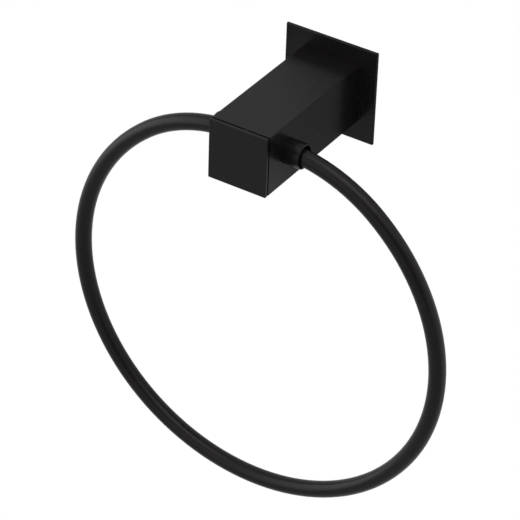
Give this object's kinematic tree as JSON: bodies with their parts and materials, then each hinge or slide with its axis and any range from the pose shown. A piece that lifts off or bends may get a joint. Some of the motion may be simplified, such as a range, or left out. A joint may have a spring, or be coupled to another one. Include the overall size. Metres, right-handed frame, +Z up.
{
  "type": "towel ring",
  "caption": "Wall-mounted towel ring: a square post on a thin square wall plate, with a round-bar hoop that swings in collars through the post's sides.",
  "frame": {"origin": "on the wall plane, midway between the bracket's screw holes, at the middle of the wall plate's back", "axes": "+Z up, +Y into the wall, so the front faces -Y; +X to the right as seen from the front"},
  "size_m": [0.201, 0.0775, 0.2165],
  "materials": {
    "black_coat": "matte",
    "zinc_steel": "satin",
    "dark_steel": "satin"
  },
  "bodies": {
    "holder": {"wall_plate": "black_coat", "post": "black_coat", "front_cap": "black_coat", "collar_right": "black_coat", "collar_left": "black_coat", "wall_bracket": "zinc_steel", "set_screw": "dark_steel"},
    "ring": {"ring": "black_coat"}
  },
  "joints": [
    {"name": "ring_swing", "type": "hinge", "parent": "holder", "child": "ring", "pos_m": [0, -0.059, 0], "axis": [-1, 0, 0], "range_deg": [-16, 196]}
  ]
}
